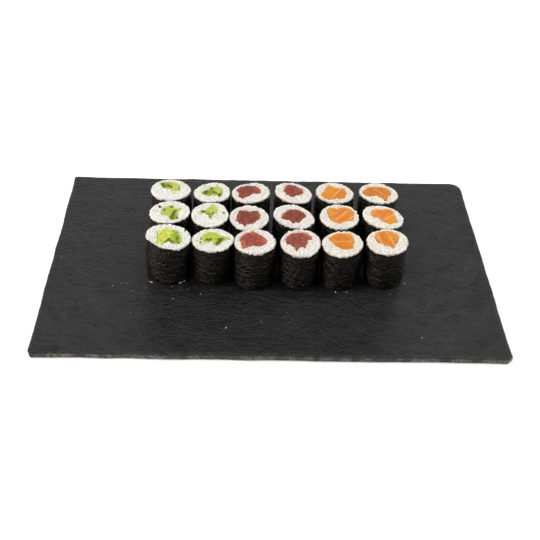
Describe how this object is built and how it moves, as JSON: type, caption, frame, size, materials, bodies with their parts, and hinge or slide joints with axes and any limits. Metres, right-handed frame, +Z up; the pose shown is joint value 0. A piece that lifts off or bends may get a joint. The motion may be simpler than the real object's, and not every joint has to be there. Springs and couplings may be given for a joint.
{
  "type": "platter of maki sushi rolls",
  "caption": "Rectangular slate serving board with rows of upright thin sushi rolls, each a nori sleeve round rice and a strip of cucumber, tuna or salmon.",
  "frame": {"origin": "middle of the slate board's underside", "axes": "+X along the board's long side, +Z up, so -Y is the side that the picture shows in front"},
  "size_m": [0.3, 0.2, 0.0354],
  "materials": {
    "slate": "riven, matt with a faint sheen",
    "nori": "thin roasted seaweed, crinkled, slightly glossy",
    "rice": "cooked sticky rice, moist",
    "cucumber": "wet cut cucumber flesh and skin",
    "tuna": "raw fish, knife cut, moist",
    "salmon": "raw fish, knife cut, moist"
  },
  "bodies": {
    "root": {"slate_board": "slate", "nori_r1c1": "nori", "rice_r1c1": "rice", "cucumber_r1c1": "cucumber", "nori_r1c2": "nori", "rice_r1c2": "rice", "cucumber_r1c2": "cucumber", "nori_r1c3": "nori", "rice_r1c3": "rice", "tuna_r1c3": "tuna", "nori_r1c4": "nori", "rice_r1c4": "rice", "tuna_r1c4": "tuna", "nori_r1c5": "nori", "rice_r1c5": "rice", "salmon_r1c5": "salmon", "nori_r1c6": "nori", "rice_r1c6": "rice", "salmon_r1c6": "salmon", "nori_r2c1": "nori", "rice_r2c1": "rice", "cucumber_r2c1": "cucumber", "nori_r2c2": "nori", "rice_r2c2": "rice", "cucumber_r2c2": "cucumber", "nori_r2c3": "nori", "rice_r2c3": "rice", "tuna_r2c3": "tuna", "nori_r2c4": "nori", "rice_r2c4": "rice", "tuna_r2c4": "tuna", "nori_r2c5": "nori", "rice_r2c5": "rice", "salmon_r2c5": "salmon", "nori_r2c6": "nori", "rice_r2c6": "rice", "salmon_r2c6": "salmon", "nori_r3c1": "nori", "rice_r3c1": "rice", "cucumber_r3c1": "cucumber", "nori_r3c2": "nori", "rice_r3c2": "rice", "cucumber_r3c2": "cucumber", "nori_r3c3": "nori", "rice_r3c3": "rice", "tuna_r3c3": "tuna", "nori_r3c4": "nori", "rice_r3c4": "rice", "tuna_r3c4": "tuna", "nori_r3c5": "nori", "rice_r3c5": "rice", "salmon_r3c5": "salmon", "nori_r3c6": "nori", "rice_r3c6": "rice", "salmon_r3c6": "salmon"}
  },
  "joints": []
}
